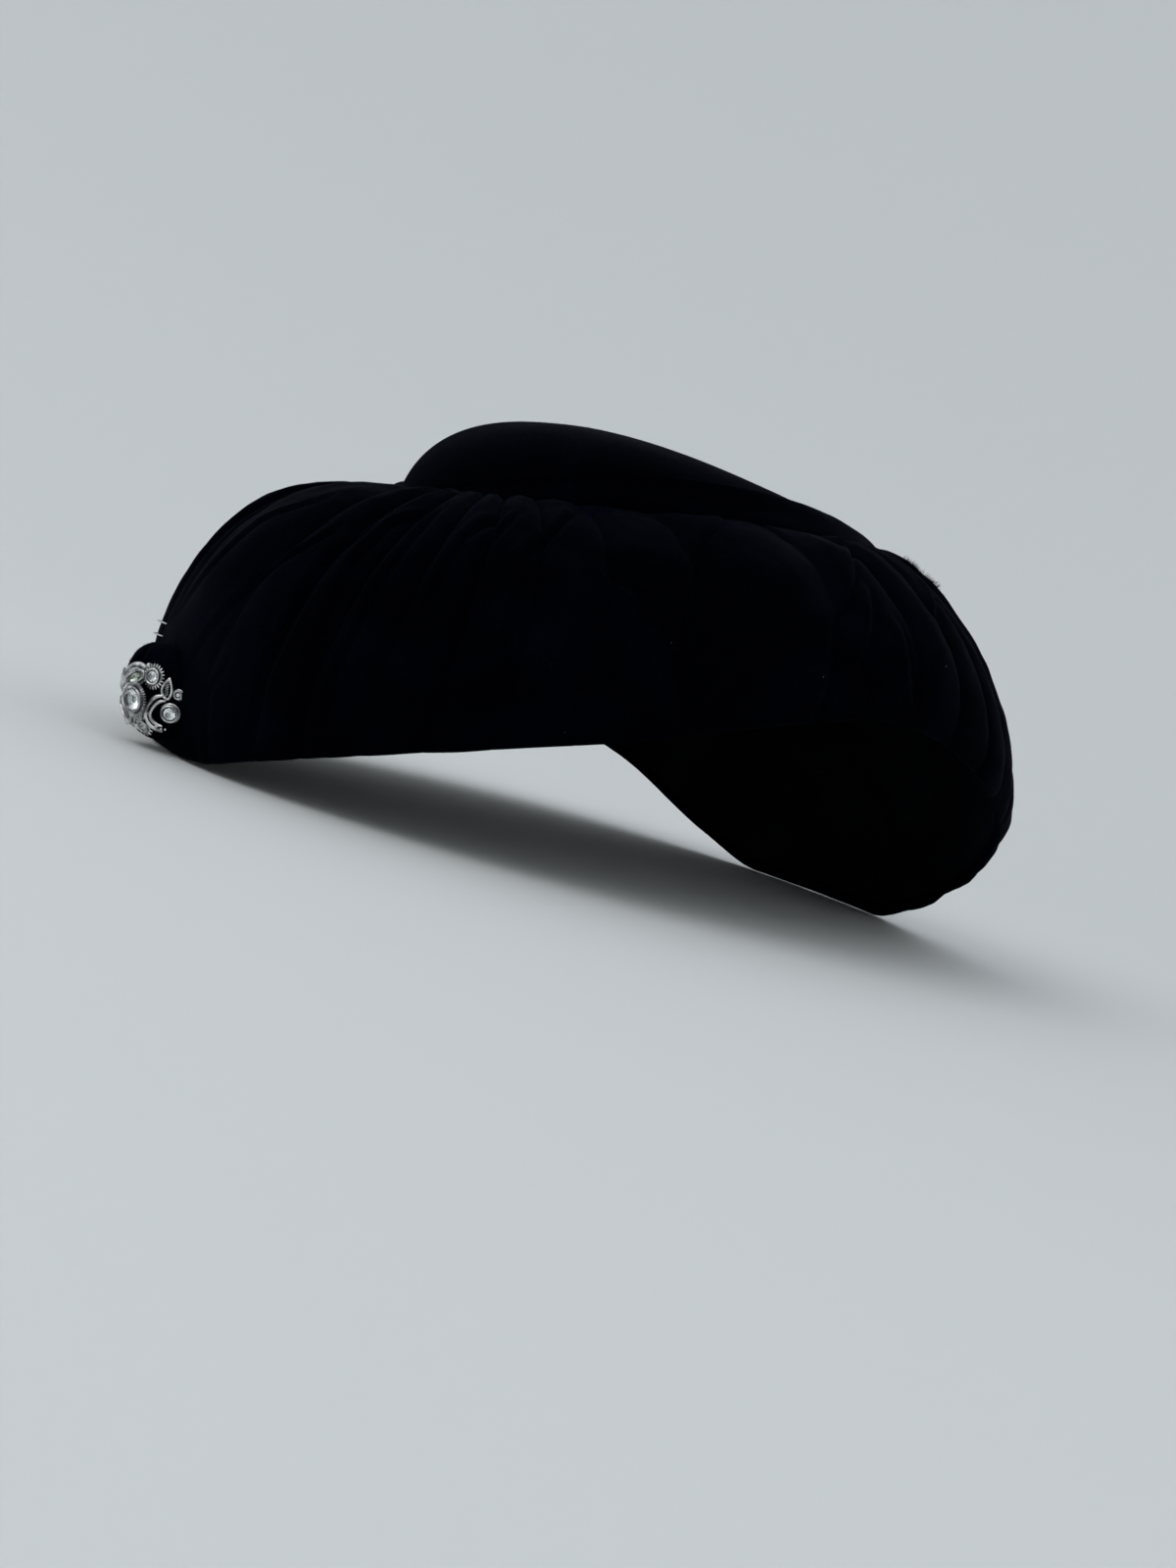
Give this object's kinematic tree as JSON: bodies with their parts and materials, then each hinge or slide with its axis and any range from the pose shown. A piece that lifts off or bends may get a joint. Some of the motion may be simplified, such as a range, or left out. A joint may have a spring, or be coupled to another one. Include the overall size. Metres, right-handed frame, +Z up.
{
  "type": "cocktail hat",
  "caption": "Velvet cocktail hat with a small domed crown, a wide gathered brim arched over the wearer's left side, and a paste brooch on a velvet knot in front",
  "frame": {"origin": "on the surface the rim stands on, under the middle of the hat's bounding box", "axes": "+Z up, the hat faces -Y, the wearer's left is +X"},
  "size_m": [0.2124, 0.2757, 0.1193],
  "materials": {
    "black_velvet": "cut pile velvet",
    "black_lining": "matt velvet facing",
    "silver_metal": "polished plate",
    "clear_paste": "cut and polished"
  },
  "bodies": {
    "root": {"brim": "black_velvet", "crown": "black_velvet", "crown_band": "black_velvet", "lining": "black_lining", "velvet_knot": "black_velvet", "brooch_frame": "silver_metal", "stone_centre": "clear_paste", "stone_top": "clear_paste", "stone_shell_left": "clear_paste", "stone_shell_right": "clear_paste", "stone_scroll_left": "clear_paste", "stone_scroll_right": "clear_paste", "stone_lower": "clear_paste"}
  },
  "joints": []
}
